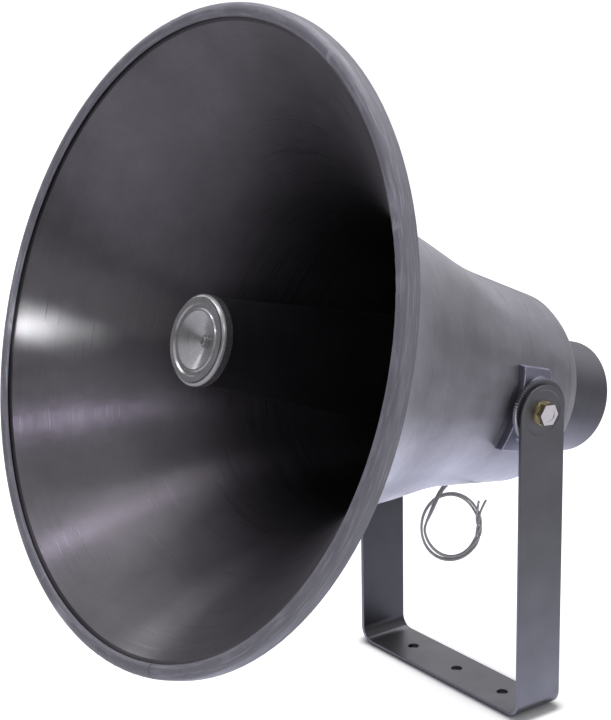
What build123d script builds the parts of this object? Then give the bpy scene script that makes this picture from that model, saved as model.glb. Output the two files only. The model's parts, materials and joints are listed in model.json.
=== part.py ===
from build123d import *

import os
from math import cos, pi, radians, sin, tan

# Horn loudspeaker: a spun folded horn with its drive unit behind it, tilting in a U-bracket.
#
# Frame: +Z up, the origin at the middle hole of the bracket's base, on its underside. The horn
# faces -Y and is tipped up by rest_tilt. "Along" is the distance ahead of the pivot on the horn's
# own axis, and is negative behind it. "Rise" is square to that axis, upwards.

# ---------------------------------------------------------------- driving sizes (millimetres)
mouth_radius = 250.0        # outside of the edge trim
mouth_along = 280.4         # middle of the edge trim's bead
rest_tilt = 17.6            # degrees above level
axis_above_pivot = 3.0      # the horn's axis passes just over the pivot bolts
bell_wall = 1.5

tail_radius = 86.7          # the bell's tail, measured at the pivot
tail_slope = 0.139          # widening of the tail for each millimetre forward
tail_rear = -50.0           # where the tail turns in over the shoulder
flare_start = 20.0          # where the tail turns into the flare
floor_along = -82.0         # outside of the bell's flat floor
floor_radius = 50.0         # edge of the flat floor
shoulder_bulge = (68.5, -67.5)
flare_points = ((0.23, 0.109), (0.50, 0.275), (0.69, 0.493), (0.843, 0.728))
mouth_slope = 1.1

trim_bead = 6.1             # radius of the trim's round front
trim_wall = 1.4
trim_skirt = 8.0            # how far the trim runs back outside the bell
trim_lip_angle = -60.0      # where the lip ends, round the bead from its front
trim_joint_gap = 0.8
trim_joint_angle = 166.0    # degrees round the mouth, from the top towards the right
lip_seat = 0.4              # clearance between the bell's lip and the trim
lip_rise = 1.0              # how far the bell's turned-out lip leans forward

reflector_wall = 1.2
reflector_rear = -25.0
reflector_rear_radius = 49.0
cap_front = 269.0
cap_radius = 34.6
cap_wall = 1.2
cap_skirt = 9.0
cap_crest_radius = 27.6
cap_groove_radius = 25.4    # middle of the groove inside the crest
cap_groove_width = 2.4
cap_groove_depth = 1.5
cap_cone_radius = 22.0
cap_cone_depth = 9.0
cap_step = 0.7              # drop from the crest to the ring round the cone
cap_seat_radius = 5.0       # flat in the middle, under the screw
cap_edge_round = 3.2
cap_fit = 0.4               # reflector inside the cap's skirt, on the radius at its front

tone_front = 232.0
tone_front_radius = 24.0
tone_wall = 1.5
tone_flange_radius = 36.0
tone_flange = 3.0
throat_radius = 10.0

spider_hub = 5.0
spider_arm = 2.0
spider_depth = 10.0
fin_thickness = 2.0
fin_depth = 14.0
fin_along = 30.0
fin_fit = 0.1
cap_screw = 4.0             # thread of the screw through the cap
cap_screw_head = 7.0
cap_screw_head_height = 2.2
cap_screw_reach = 16.0

plug_radius = 7.0
plug_tip_radius = 1.5
plug_rear = -86.0
plug_front = -66.0
plug_web = 1.2
plug_web_depth = 4.0

cover_radius = 47.0
cover_rear = -131.0
cover_wall = 1.5
cover_round = 5.0
gasket = 1.0

throat_plate = 8.0
plate_fit = 1.0             # throat plate inside the cover
plate_radius = cover_radius - cover_wall - plate_fit
spigot_radius = 25.6
spigot_fit = 0.4            # throat plate's spigot in the bell's floor
clamp_ring = 4.0
clamp_inner_radius = 28.0
clamp_outer_radius = plate_radius - 1.0
top_plate = 6.0
top_plate_radius = plate_radius - 0.5
magnet_thickness = 14.0
magnet_radius = 34.0
magnet_bore = 23.0
back_plate = 6.0
back_plate_radius = 36.0
pole_vent_radius = 4.0

former_radius = 18.6        # inside of the voice coil's former
former_wall = 0.4
former_length = 7.7
coil_thickness = 0.7
coil_length = 5.0
coil_end = 0.5              # bare former behind the winding
coil_clearance = 0.7        # voice coil to the top plate's bore
pole_clearance = 1.0        # former to the pole inside it
gap_radius = former_radius + former_wall + coil_thickness + coil_clearance
pole_radius = former_radius - pole_clearance
dome_height = 5.0
dome_wall = 0.6
surround_wall = 0.5
surround_fit = 0.4          # outside of the surround to the clamp ring
dome_mouth_clearance = 1.2  # throat plate over the dome

bracket_width = 205.6       # over the outsides of the two legs
strip_width = 45.0
strip_thickness = 3.0
bend_radius = 14.0          # outside of the bend
pivot_height = 258.6
base_hole = 9.5             # diameter
base_hole_pitch = 58.5
leg_dish_radius = 18.5
leg_dish_depth = 0.8

bolt_thread = 10.0
bolt_across_flats = 16.0
bolt_head = 8.0             # with its flange
bolt_flange_radius = 10.5
bolt_flange = 2.2
bolt_head_recess = 0.6
bolt_gap = 0.2              # between the flange and the leg
running_clearance = 0.06    # bolt in the leg, on the radius

disc_radius = 26.5
disc_thickness = 3.0
disc_teeth = 72
disc_tooth = 0.8
disc_gap = 0.3              # between the disc and the leg

tab_front = 19.0
tab_rear = -16.0
tab_top = 33.0
tab_bottom = -36.5
tab_thickness = 6.0         # a lug's saddle, over the bell
tab_chamfer = 4.0
boss_foot = 90.0            # where a lug's boss starts to narrow, from the middle
boss_foot_radius = 26.5
boss_top_radius = 20.0
lug_bore_inside = 88.0      # where the bolt's thread starts, from the middle
seat_gap = 0.2              # paint between a lug and the bell

lug_screw = 4.0
lug_screw_head = 7.6
lug_screw_head_height = 2.4
lug_screw_leans = (17.0, -19.0)     # degrees above and below the bell's side
lug_screw_along = 2.0
lug_screw_reach = 4.5       # how far the screws reach into the lug, past the bell
screw_fit = 0.05            # screws in their own tapped holes, on the radius

throat_screw = 4.0
throat_screw_circle = 31.0
throat_screw_head = 7.0
throat_screw_head_height = 2.6
unit_screw = 4.0
unit_screw_circle = clamp_outer_radius - 3.7
unit_screw_head = 6.6
unit_screw_head_height = 2.4
cover_screw = 4.0
cover_screw_circle = 26.0
cover_screw_head = 7.6
cover_screw_head_height = 2.4
spacer_radius = 4.5
hole_clearance = 0.2        # screws in plain holes, on the radius
blind_end = 1.5             # metal left past a blind screw hole

board_size = (14.0, 6.0, 2.0)
board_circle = 28.0
tag_size = (2.4, 0.8, 4.0)
tag_circle = 30.0
tag_pitch = 7.0
inner_lead_circle = 37.4
inner_lead_bend = 6.3

wire_diameter = 2.1
wire_pair_gap = 0.4
grommet_angle = 30.0        # round from the cover's underside, towards the left
grommet_along = -110.0
grommet_radius = 5.0
grommet_head = 3.0
grommet_neck_radius = 3.4
grommet_tail = 2.0

lead_straight = 12.0        # the leads' straight run out of the grommet
# then the middle of the pair, forward under the bell and down to the loop that it hangs in
lead_route = [
    (-36.0, 68.0, 166.0),
    (-36.5, 46.0, 163.0),
    (-34.0, 24.0, 161.5),
    (-31.0, 7.0, 153.5),
    (-32.4, -0.2, 138.5),
]
loop_centre = (-25.0, 14.6, 121.4)
loop_heading = 53.8         # degrees from +X, of the upright plane that the loop hangs in
loop_half_width = 24.2
loop_half_height = 29.0
loop_bundle = 3.2           # radius of the bundle of turns
free_end_start = 15.0       # degrees round the loop, up from its right side
free_end_leans = (4.0, 26.0)
free_end_length = 17.0

# ---------------------------------------------------------------- the horn's own axis
tilt = radians(rest_tilt)
RIGHT = Vector(1, 0, 0)
AHEAD = Vector(0, -cos(tilt), sin(tilt))
RISE = Vector(0, sin(tilt), cos(tilt))
pivot = Vector(0, 0, pivot_height)
horn_centre = pivot + RISE * axis_above_pivot
horn_axis = Axis(horn_centre, AHEAD)
section_plane = Plane(origin=horn_centre, x_dir=RIGHT, z_dir=-RISE)


def across(along):
    """The plane square to the horn's axis, that far ahead of the pivot."""
    return Plane(origin=horn_centre + AHEAD * along, x_dir=RIGHT, z_dir=AHEAD)


def beside(distance):
    """The plane that faces right, that far out, with rearward as its x and rise as its y."""
    return Plane(origin=pivot + RIGHT * distance, x_dir=-AHEAD, z_dir=RIGHT)


def section(*corners):
    """A flat outline through the horn's axis, from (radius, along) corners."""
    with BuildSketch(section_plane) as flat:
        with BuildLine():
            Polyline(*corners, close=True)
        make_face()
    return flat.sketch


def tail_at(along):
    """Outside radius of the bell's straight tail."""
    return tail_radius + tail_slope * along


def between(start, end, share):
    return start + (end - start) * share


def lug_screw_plane(side, lean):
    """Faces out of the bell's tail, at a lug screw's far end, that many degrees up its side."""
    out = RIGHT * (side * cos(radians(lean))) + RISE * sin(radians(lean))
    square_out = (out - AHEAD * tail_slope).normalized()
    surface = horn_centre + AHEAD * lug_screw_along + out * tail_at(lug_screw_along)
    return Plane(origin=surface + square_out * lug_screw_reach, x_dir=RISE, z_dir=square_out)


os.makedirs("parts", exist_ok=True)


def write(piece, name):
    """Labels a finished piece and writes its file."""
    piece.part.label = name
    export_step(piece.part, f"parts/{name}.step")


# ---------------------------------------------------------------- bracket
leg_outside = bracket_width / 2
leg_inside = leg_outside - strip_thickness

with BuildPart() as u_bracket:
    with BuildSketch(Plane.XZ.offset(-strip_width / 2)):
        with BuildLine():
            outer_u = FilletPolyline(
                (-leg_outside, pivot_height + strip_width / 2),
                (-leg_outside, 0),
                (leg_outside, 0),
                (leg_outside, pivot_height + strip_width / 2),
                radius=bend_radius,
            )
            inner_u = FilletPolyline(
                (-leg_inside, pivot_height + strip_width / 2),
                (-leg_inside, strip_thickness),
                (leg_inside, strip_thickness),
                (leg_inside, pivot_height + strip_width / 2),
                radius=bend_radius - strip_thickness,
            )
            Line(outer_u @ 0, inner_u @ 0)
            Line(outer_u @ 1, inner_u @ 1)
        make_face()
    extrude(amount=strip_width)
    # the legs end in half rounds about the pivot
    with BuildSketch(Plane.YZ.offset(-leg_outside)):
        with Locations((0, pivot_height / 2)):
            Rectangle(strip_width, pivot_height)
        with Locations((0, pivot_height)):
            Circle(strip_width / 2)
    extrude(amount=bracket_width, mode=Mode.INTERSECT)
    with BuildSketch(Plane.XY):
        with GridLocations(base_hole_pitch, 0, 3, 1):
            Circle(base_hole / 2)
    extrude(amount=strip_thickness, mode=Mode.SUBTRACT)
    # bolt holes, with a shallow pressed dish round each on the outside
    with BuildSketch(Plane.YZ.offset(-leg_outside)):
        with Locations((0, pivot_height)):
            Circle(bolt_thread / 2 + running_clearance)
    extrude(amount=bracket_width, mode=Mode.SUBTRACT)
    for side in (1, -1):
        with BuildSketch(Plane.YZ.offset(side * leg_outside)):
            with Locations((0, pivot_height)):
                Circle(leg_dish_radius)
        extrude(amount=-side * leg_dish_depth, taper=20, mode=Mode.SUBTRACT)
write(u_bracket, "u_bracket")

# ---------------------------------------------------------------- bell
lip_radius = mouth_radius - trim_wall - lip_seat
bead_centre = mouth_radius - trim_bead
flare_end = (bead_centre - trim_bead - 0.8, mouth_along - 0.6)
flare_foot = (tail_at(flare_start), flare_start)
floor_hole = spigot_radius + spigot_fit


def inward(curve, share):
    """The point inside the wall, square to a curve of the bell's outside."""
    return curve @ share + (curve % share).rotate(Axis.Z, 90) * bell_wall


with BuildPart() as bell:
    with BuildSketch(section_plane):
        with BuildLine():
            outside_floor = Line((floor_hole, floor_along), (floor_radius, floor_along))
            outside_shoulder = ThreePointArc(
                outside_floor @ 1, shoulder_bulge, (tail_at(tail_rear), tail_rear)
            )
            Line(outside_shoulder @ 1, flare_foot)
            flare = [
                (between(flare_foot[0], flare_end[0], rise), between(flare_start, flare_end[1], run))
                for run, rise in flare_points
            ]
            outside_flare = Spline(
                flare_foot, *flare, flare_end, tangents=((tail_slope, 1), (mouth_slope, 1))
            )
            outside_lip = Line(flare_end, (lip_radius, flare_end[1] + lip_rise))
            inside_flare = Spline(
                *[inward(outside_flare, share / 6) for share in range(7)],
                tangents=((tail_slope, 1), (mouth_slope, 1)),
            )
            inside_shoulder = ThreePointArc(*[inward(outside_shoulder, share) for share in (0, 0.5, 1)])
            Line(inside_shoulder @ 1, inside_flare @ 0)
            Polyline(
                inside_flare @ 1, (lip_radius, flare_end[1] + lip_rise + bell_wall), outside_lip @ 1
            )
            Polyline(inside_shoulder @ 0, (floor_hole, floor_along + bell_wall), outside_floor @ 0)
        make_face()
    revolve(axis=horn_axis)
    # holes for the throat screws in the floor
    with BuildSketch(across(floor_along)):
        with PolarLocations(throat_screw_circle, 4, 45):
            Circle(throat_screw / 2 + hole_clearance)
    extrude(amount=bell_wall * 2, mode=Mode.SUBTRACT)
    # and for the lug screws in both sides of the tail
    for side in (1, -1):
        for lean in lug_screw_leans:
            with BuildSketch(lug_screw_plane(side, lean)):
                Circle(lug_screw / 2 + hole_clearance)
            extrude(amount=-lug_screw_reach - bell_wall * 2, mode=Mode.SUBTRACT)
write(bell, "bell")

# ---------------------------------------------------------------- edge trim
skirt_rear = mouth_along - trim_skirt
bead_inside = trim_bead - trim_wall

with BuildPart() as edge_trim:
    with BuildSketch(section_plane):
        with BuildLine():
            bead_outer = CenterArc(
                (bead_centre, mouth_along), trim_bead, 0, 90 - trim_lip_angle
            )
            bead_inner = CenterArc(
                (bead_centre, mouth_along), bead_inside, 0, 90 - trim_lip_angle
            )
            Polyline(
                bead_outer @ 0,
                (mouth_radius, skirt_rear),
                (mouth_radius - trim_wall, skirt_rear),
                bead_inner @ 0,
            )
            Line(bead_outer @ 1, bead_inner @ 1)
        make_face()
    revolve(axis=horn_axis)
    # the strip's two ends meet in an open butt joint
    joint_plane = across(skirt_rear)
    with BuildSketch(joint_plane):
        with PolarLocations(bead_centre, 1, 90 - trim_joint_angle):
            Rectangle(trim_bead * 4, trim_joint_gap)
    extrude(amount=trim_skirt + trim_bead * 2, mode=Mode.SUBTRACT)
write(edge_trim, "edge_trim")

# ---------------------------------------------------------------- reflector and its cap
cap_back = cap_front - cap_skirt
reflector_front = cap_front - cap_edge_round - cap_wall
cap_floor = cap_front - cap_cone_depth
cap_bore = cap_screw / 2 + hole_clearance


def reflector_at(along):
    """Outside radius of the tapered reflector."""
    share = (along - reflector_rear) / (reflector_front - reflector_rear)
    return between(reflector_rear_radius, cap_radius - cap_wall - cap_fit, share)


with BuildPart() as reflector:
    revolve(
        section(
            (reflector_at(reflector_rear), reflector_rear),
            (reflector_at(reflector_front), reflector_front),
            (reflector_at(reflector_front) - reflector_wall, reflector_front),
            (reflector_at(reflector_rear) - reflector_wall, reflector_rear),
        ),
        axis=horn_axis,
    )
write(reflector, "reflector")

with BuildPart() as reflector_cap:
    with BuildSketch(section_plane):
        with BuildLine():
            skirt = Line((cap_radius, cap_back), (cap_radius, cap_front - cap_edge_round))
            edge = RadiusArc(
                skirt @ 1, (cap_radius - cap_edge_round, cap_front), cap_edge_round, short_sagitta=True
            )
            groove_front = cap_groove_radius + cap_groove_width / 2
            groove_rear = cap_groove_radius - cap_groove_width / 2
            Polyline(
                edge @ 1,
                (cap_crest_radius, cap_front),
                (groove_front, cap_front - cap_groove_depth),
                (groove_rear, cap_front - cap_groove_depth),
                (between(groove_rear, cap_cone_radius, 0.5), cap_front - cap_step),
                (cap_cone_radius, cap_front - cap_step),
                (cap_seat_radius, cap_floor),
                (cap_bore, cap_floor),
                (cap_bore, cap_floor - cap_wall),
                (cap_seat_radius + cap_wall, cap_floor - cap_wall),
                (cap_cone_radius, cap_front - cap_groove_depth - cap_wall),
                (cap_radius - cap_edge_round, cap_front - cap_groove_depth - cap_wall),
                (cap_radius - cap_wall, cap_front - cap_edge_round - cap_wall),
                (cap_radius - cap_wall, cap_back),
                skirt @ 0,
            )
        make_face()
    revolve(axis=horn_axis)
write(reflector_cap, "reflector_cap")

# ---------------------------------------------------------------- tone arm, spider and fins
tone_rear = floor_along + bell_wall
tone_flange_front = tone_rear + tone_flange


def tone_at(along):
    """Inside radius of the tone arm."""
    share = (along - tone_rear) / (tone_front - tone_rear)
    return between(throat_radius, tone_front_radius - tone_wall, share)


with BuildPart() as tone_arm:
    revolve(
        section(
            (tone_at(tone_rear), tone_rear),
            (tone_at(tone_front), tone_front),
            (tone_at(tone_front) + tone_wall, tone_front),
            (tone_at(tone_flange_front) + tone_wall, tone_flange_front),
            (tone_flange_radius, tone_flange_front),
            (tone_flange_radius, tone_rear),
        ),
        axis=horn_axis,
    )
    with BuildSketch(across(tone_rear)):
        with PolarLocations(throat_screw_circle, 4, 45):
            Circle(throat_screw / 2 + hole_clearance)
    extrude(amount=tone_flange, mode=Mode.SUBTRACT)
write(tone_arm, "tone_arm")

spider_rear = tone_front - spider_depth
hub_front = cap_floor - cap_wall

with BuildPart() as spider:
    with BuildSketch(across(spider_rear)):
        with PolarLocations(tone_front_radius / 2, 3, 90):
            Rectangle(tone_front_radius, spider_arm)
    extrude(amount=spider_depth)
    revolve(
        section(
            (0, spider_rear),
            (tone_at(spider_rear) - fin_fit, spider_rear),
            (tone_at(tone_front) - fin_fit, tone_front),
            (0, tone_front),
        ),
        axis=horn_axis,
        mode=Mode.INTERSECT,
    )
    with BuildSketch(across(spider_rear)):
        Circle(spider_hub)
    extrude(amount=hub_front - spider_rear)
    with BuildSketch(across(hub_front)):
        Circle(cap_screw / 2 + screw_fit)
    extrude(amount=-cap_screw_reach - blind_end, mode=Mode.SUBTRACT)
write(spider, "tone_arm_spider")

with BuildPart() as cap_screw_piece:
    with BuildSketch(across(cap_floor)):
        Circle(cap_screw_head / 2)
    extrude(amount=cap_screw_head_height)
    fillet(cap_screw_piece.faces().sort_by(horn_axis)[-1].edges(), cap_screw_head_height * 0.4)
    with BuildSketch(across(cap_floor)):
        Circle(cap_screw / 2)
    extrude(amount=-cap_screw_reach)
    with BuildSketch(across(cap_floor + cap_screw_head_height)):
        Rectangle(cap_screw_head, 1)
        Rectangle(1, cap_screw_head * 0.6)
    extrude(amount=-cap_screw_head_height / 2, mode=Mode.SUBTRACT)
write(cap_screw_piece, "reflector_screw")

fin_rear = fin_along - fin_depth / 2
fin_front = fin_along + fin_depth / 2

with BuildPart() as centring_fins:
    with BuildSketch(across(fin_rear)):
        with PolarLocations(reflector_rear_radius / 2, 3, 90):
            Rectangle(reflector_rear_radius, fin_thickness)
    extrude(amount=fin_depth)
    revolve(
        section(
            (tone_at(fin_rear) + tone_wall + fin_fit, fin_rear),
            (tone_at(fin_front) + tone_wall + fin_fit, fin_front),
            (reflector_at(fin_front) - reflector_wall - fin_fit, fin_front),
            (reflector_at(fin_rear) - reflector_wall - fin_fit, fin_rear),
        ),
        axis=horn_axis,
        mode=Mode.INTERSECT,
    )
write(centring_fins, "centring_fins")

# ---------------------------------------------------------------- drive unit
gasket_rear = floor_along - gasket
plate_rear = gasket_rear - throat_plate
clamp_rear = plate_rear - clamp_ring
top_plate_rear = clamp_rear - top_plate
magnet_rear = top_plate_rear - magnet_thickness
back_plate_rear = magnet_rear - back_plate

# the dome is part of a ball
edge_along = between(plate_rear, clamp_rear, 0.75)
coil_outside = former_radius + former_wall + coil_thickness
dome_foot = former_radius + former_wall
dome_ball = (dome_foot**2 + dome_height**2) / (2 * dome_height)
dome_front = edge_along + dome_height
dome_centre = dome_front - dome_ball


def ball_radius_at(ball, along):
    return ((ball**2) - (along - dome_centre) ** 2) ** 0.5


def ring(inner, outer, front, rear):
    """The outline of a plain ring round the horn's axis."""
    return section((inner, front), (outer, front), (outer, rear), (inner, rear))


def screws(under_head, tip, head_side, circle, count, first, thread, head, head_height):
    """Pan-headed screws along the horn's axis; head_side is 1 when the heads face ahead."""
    with BuildPart() as group:
        with BuildSketch(across(under_head)):
            with PolarLocations(circle, count, first):
                Circle(head / 2)
        extrude(amount=head_side * head_height)
        tops = group.faces().sort_by(Axis(horn_centre, AHEAD * head_side))[-count:]
        fillet(tops.edges(), head_height * 0.4)
        with BuildSketch(across(under_head)):
            with PolarLocations(circle, count, first):
                Circle(thread / 2)
        extrude(amount=tip - under_head)
        with BuildSketch(across(under_head + head_side * head_height)):
            with PolarLocations(circle, count, first):
                Rectangle(head * 0.6, 1)
                Rectangle(1, head * 0.6)
        extrude(amount=-head_side * head_height / 2, mode=Mode.SUBTRACT)
    return group


with BuildPart() as cover_gasket:
    revolve(ring(floor_hole, cover_radius, floor_along, gasket_rear), axis=horn_axis)
    with BuildSketch(across(gasket_rear)):
        with PolarLocations(throat_screw_circle, 4, 45):
            Circle(throat_screw / 2 + hole_clearance)
    extrude(amount=floor_along - gasket_rear, mode=Mode.SUBTRACT)
write(cover_gasket, "cover_gasket")

throat_screw_tip = plate_rear + blind_end + spigot_fit

with BuildPart() as throat_plate_piece:
    mouth = dome_ball + dome_mouth_clearance
    throat_meets = dome_centre + (mouth**2 - throat_radius**2) ** 0.5
    with BuildSketch(section_plane):
        with BuildLine():
            front = Polyline(
                (throat_radius, throat_meets),
                (throat_radius, tone_rear),
                (spigot_radius, tone_rear),
                (spigot_radius, gasket_rear),
                (plate_radius, gasket_rear),
                (plate_radius, plate_rear),
                (ball_radius_at(mouth, plate_rear), plate_rear),
            )
            RadiusArc(front @ 1, front @ 0, mouth)
        make_face()
    revolve(axis=horn_axis)
    with BuildSketch(across(plate_rear + blind_end)):
        with PolarLocations(throat_screw_circle, 4, 45):
            Circle(throat_screw / 2 + screw_fit)
    extrude(amount=gasket_rear - (plate_rear + blind_end), mode=Mode.SUBTRACT)
    with BuildSketch(across(plate_rear)):
        with PolarLocations(unit_screw_circle, 6, 0):
            Circle(unit_screw / 2 + screw_fit)
    extrude(amount=gasket_rear - blind_end - plate_rear, mode=Mode.SUBTRACT)
write(throat_plate_piece, "throat_plate")

throat_screws = screws(
    tone_flange_front,
    throat_screw_tip,
    1,
    throat_screw_circle,
    4,
    45,
    throat_screw,
    throat_screw_head,
    throat_screw_head_height,
)
write(throat_screws, "throat_screws")

with BuildPart() as phase_plug:
    with BuildSketch(across(plug_rear)):
        with PolarLocations(throat_radius / 2, 3, 90):
            Rectangle(throat_radius, plug_web)
    extrude(amount=plug_web_depth)
    revolve(
        ring(0, throat_radius - fin_fit, plug_rear + plug_web_depth, plug_rear),
        axis=horn_axis,
        mode=Mode.INTERSECT,
    )
    with BuildSketch(section_plane):
        with BuildLine():
            plug_side = ThreePointArc(
                (plug_radius, plug_rear + plug_web_depth / 2),
                (between(plug_radius, plug_tip_radius, 0.4), between(plug_rear, plug_front, 0.6)),
                (plug_tip_radius, plug_front),
            )
            Polyline(
                plug_side @ 1, (0, plug_front), (0, plug_rear), (plug_radius, plug_rear), plug_side @ 0
            )
        make_face()
    revolve(axis=horn_axis)
write(phase_plug, "phase_plug")

with BuildPart() as clamp_ring_piece:
    revolve(ring(clamp_inner_radius, clamp_outer_radius, plate_rear, clamp_rear), axis=horn_axis)
    with BuildSketch(across(clamp_rear)):
        with PolarLocations(unit_screw_circle, 6, 0):
            Circle(unit_screw / 2 + hole_clearance)
    extrude(amount=plate_rear - clamp_rear, mode=Mode.SUBTRACT)
write(clamp_ring_piece, "clamp_ring")

with BuildPart() as top_plate_piece:
    revolve(ring(gap_radius, top_plate_radius, clamp_rear, top_plate_rear), axis=horn_axis)
    with BuildSketch(across(top_plate_rear)):
        with PolarLocations(unit_screw_circle, 6, 0):
            Circle(unit_screw / 2 + hole_clearance)
    extrude(amount=clamp_rear - top_plate_rear, mode=Mode.SUBTRACT)
write(top_plate_piece, "magnet_top_plate")

unit_screws = screws(
    top_plate_rear,
    gasket_rear - blind_end - spigot_fit,
    -1,
    unit_screw_circle,
    6,
    0,
    unit_screw,
    unit_screw_head,
    unit_screw_head_height,
)
write(unit_screws, "unit_screws")

with BuildPart() as magnet:
    revolve(ring(magnet_bore, magnet_radius, top_plate_rear, magnet_rear), axis=horn_axis)
    fillet(magnet.edges().filter_by(GeomType.CIRCLE), 0.8)
write(magnet, "magnet")

with BuildPart() as back_plate_piece:
    revolve(
        section(
            (pole_vent_radius, clamp_rear),
            (pole_radius, clamp_rear),
            (pole_radius, magnet_rear),
            (back_plate_radius, magnet_rear),
            (back_plate_radius, back_plate_rear),
            (pole_vent_radius, back_plate_rear),
        ),
        axis=horn_axis,
    )
    with BuildSketch(across(back_plate_rear)):
        with PolarLocations(cover_screw_circle, 3, 30):
            Circle(cover_screw / 2 + screw_fit)
    extrude(amount=magnet_rear - blind_end - back_plate_rear, mode=Mode.SUBTRACT)
write(back_plate_piece, "back_plate")

# ---------------------------------------------------------------- diaphragm
former_rear = edge_along - former_length
coil_rear = former_rear + coil_end
roll_inner = between(dome_foot, clamp_inner_radius, 0.25)
roll_outer = between(dome_foot, clamp_inner_radius, 0.75)
roll_height = (roll_outer - roll_inner) / 4

with BuildPart() as diaphragm:
    with BuildSketch(section_plane):
        with BuildLine():
            inner_ball = dome_ball - dome_wall
            inner_foot = ball_radius_at(inner_ball, edge_along)
            over = RadiusArc((dome_foot, edge_along), (0, dome_front), -dome_ball)
            under = RadiusArc((inner_foot, edge_along), (0, dome_front - dome_wall), -inner_ball)
            Line(over @ 1, under @ 1)
            Line(over @ 0, under @ 0)
        make_face()
    revolve(axis=horn_axis)
write(diaphragm, "diaphragm")

with BuildPart() as surround:
    with BuildSketch(section_plane):
        with BuildLine():
            rear = edge_along - surround_wall
            lower = Line((dome_foot, rear), (roll_inner, rear))
            lower_roll = ThreePointArc(
                lower @ 1, ((roll_inner + roll_outer) / 2, rear + roll_height), (roll_outer, rear)
            )
            edge = Polyline(
                lower_roll @ 1,
                (clamp_inner_radius - surround_fit, rear),
                (clamp_inner_radius - surround_fit, edge_along),
                (roll_outer, edge_along),
            )
            upper_roll = ThreePointArc(
                edge @ 1, ((roll_inner + roll_outer) / 2, edge_along + roll_height), (roll_inner, edge_along)
            )
            Polyline(upper_roll @ 1, (dome_foot, edge_along), lower @ 0)
        make_face()
    revolve(axis=horn_axis)
write(surround, "surround")

with BuildPart() as coil_former:
    revolve(ring(former_radius, dome_foot, edge_along, former_rear), axis=horn_axis)
write(coil_former, "coil_former")

with BuildPart() as voice_coil:
    revolve(ring(dome_foot, coil_outside, coil_rear + coil_length, coil_rear), axis=horn_axis)
write(voice_coil, "voice_coil")

# ---------------------------------------------------------------- rear cover
lead_out = RIGHT * cos(radians(270 - grommet_angle)) + RISE * sin(radians(270 - grommet_angle))
lead_beside = lead_out.cross(AHEAD)
grommet_foot = horn_centre + AHEAD * grommet_along
wire_pitch = wire_diameter + wire_pair_gap
grommet_bore = (wire_pitch + wire_diameter) / 2 + screw_fit
cover_inside = cover_rear + cover_wall


def lead_plane(distance):
    """Faces out through the grommet, that far from the horn's axis."""
    return Plane(origin=grommet_foot + lead_out * distance, x_dir=lead_beside, z_dir=lead_out)


with BuildPart() as rear_cover:
    with BuildSketch(section_plane):
        with BuildLine():
            side_line = Line((cover_radius, gasket_rear), (cover_radius, cover_rear + cover_round))
            corner = RadiusArc(
                side_line @ 1, (cover_radius - cover_round, cover_rear), cover_round, short_sagitta=True
            )
            back = Polyline(
                corner @ 1,
                (0, cover_rear),
                (0, cover_inside),
                (cover_radius - cover_round, cover_inside),
            )
            inner_corner = RadiusArc(
                back @ 1,
                (cover_radius - cover_wall, cover_rear + cover_round),
                -(cover_round - cover_wall),
                short_sagitta=True,
            )
            Polyline(inner_corner @ 1, (cover_radius - cover_wall, gasket_rear), side_line @ 0)
        make_face()
    revolve(axis=horn_axis)
    with BuildSketch(across(cover_rear)):
        with PolarLocations(cover_screw_circle, 3, 30):
            Circle(cover_screw / 2 + hole_clearance)
    extrude(amount=cover_inside - cover_rear, mode=Mode.SUBTRACT)
    with BuildSketch(lead_plane(0)):
        Circle(grommet_neck_radius + spigot_fit / 4)
    extrude(amount=cover_radius * 2, mode=Mode.SUBTRACT)
write(rear_cover, "rear_cover")

with BuildPart() as cover_spacers:
    with BuildSketch(across(cover_inside)):
        with PolarLocations(cover_screw_circle, 3, 30):
            Circle(spacer_radius)
            Circle(cover_screw / 2 + hole_clearance, mode=Mode.SUBTRACT)
    extrude(amount=back_plate_rear - cover_inside)
write(cover_spacers, "cover_spacers")

cover_screws = screws(
    cover_rear,
    magnet_rear - blind_end - spigot_fit,
    -1,
    cover_screw_circle,
    3,
    30,
    cover_screw,
    cover_screw_head,
    cover_screw_head_height,
)
write(cover_screws, "cover_screws")

grommet_end = cover_radius + grommet_head
grommet_tail_end = cover_radius - cover_wall - grommet_tail

with BuildPart() as cable_grommet:
    with BuildSketch(lead_plane(grommet_tail_end)):
        Circle(between(grommet_neck_radius, grommet_radius, 0.7))
    extrude(amount=grommet_end - grommet_tail_end)
    with BuildSketch(lead_plane(between(grommet_tail_end, grommet_end, 0.5))):
        Circle(grommet_radius)
    extrude(amount=(grommet_end - grommet_tail_end) / 2)
    fillet(cable_grommet.faces().sort_by(Axis(grommet_foot, lead_out))[-1].edges(), 1.2)
    # the groove that the cover's edge sits in
    revolve(
        ring(
            cover_radius - cover_wall,
            cover_radius,
            grommet_along + grommet_radius * 2,
            grommet_along - grommet_radius * 2,
        ),
        axis=horn_axis,
        mode=Mode.SUBTRACT,
    )
    with BuildSketch(lead_plane(grommet_tail_end)):
        Circle(grommet_neck_radius)
    extrude(amount=cover_radius - grommet_tail_end + 1)
    with BuildSketch(lead_plane(0)):
        Circle(grommet_bore)
    extrude(amount=cover_radius * 2, mode=Mode.SUBTRACT)
write(cable_grommet, "cable_grommet")

# ---------------------------------------------------------------- terminals inside the cover
board_front = back_plate_rear
board_rear = board_front - board_size[2]
lead_turn = 270 - grommet_angle

with BuildPart() as terminal_board:
    with BuildSketch(across(board_rear)):
        with PolarLocations(board_circle, 1, lead_turn):
            Rectangle(board_size[1], board_size[0])
    extrude(amount=board_size[2])
write(terminal_board, "terminal_board")

with BuildPart() as terminal_tags:
    with BuildSketch(across(board_rear)):
        with PolarLocations(tag_circle, 1, lead_turn):
            with GridLocations(0, tag_pitch, 1, 2):
                Rectangle(tag_size[1], tag_size[0])
    extrude(amount=-tag_size[2])
write(terminal_tags, "terminal_tags")


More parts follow.
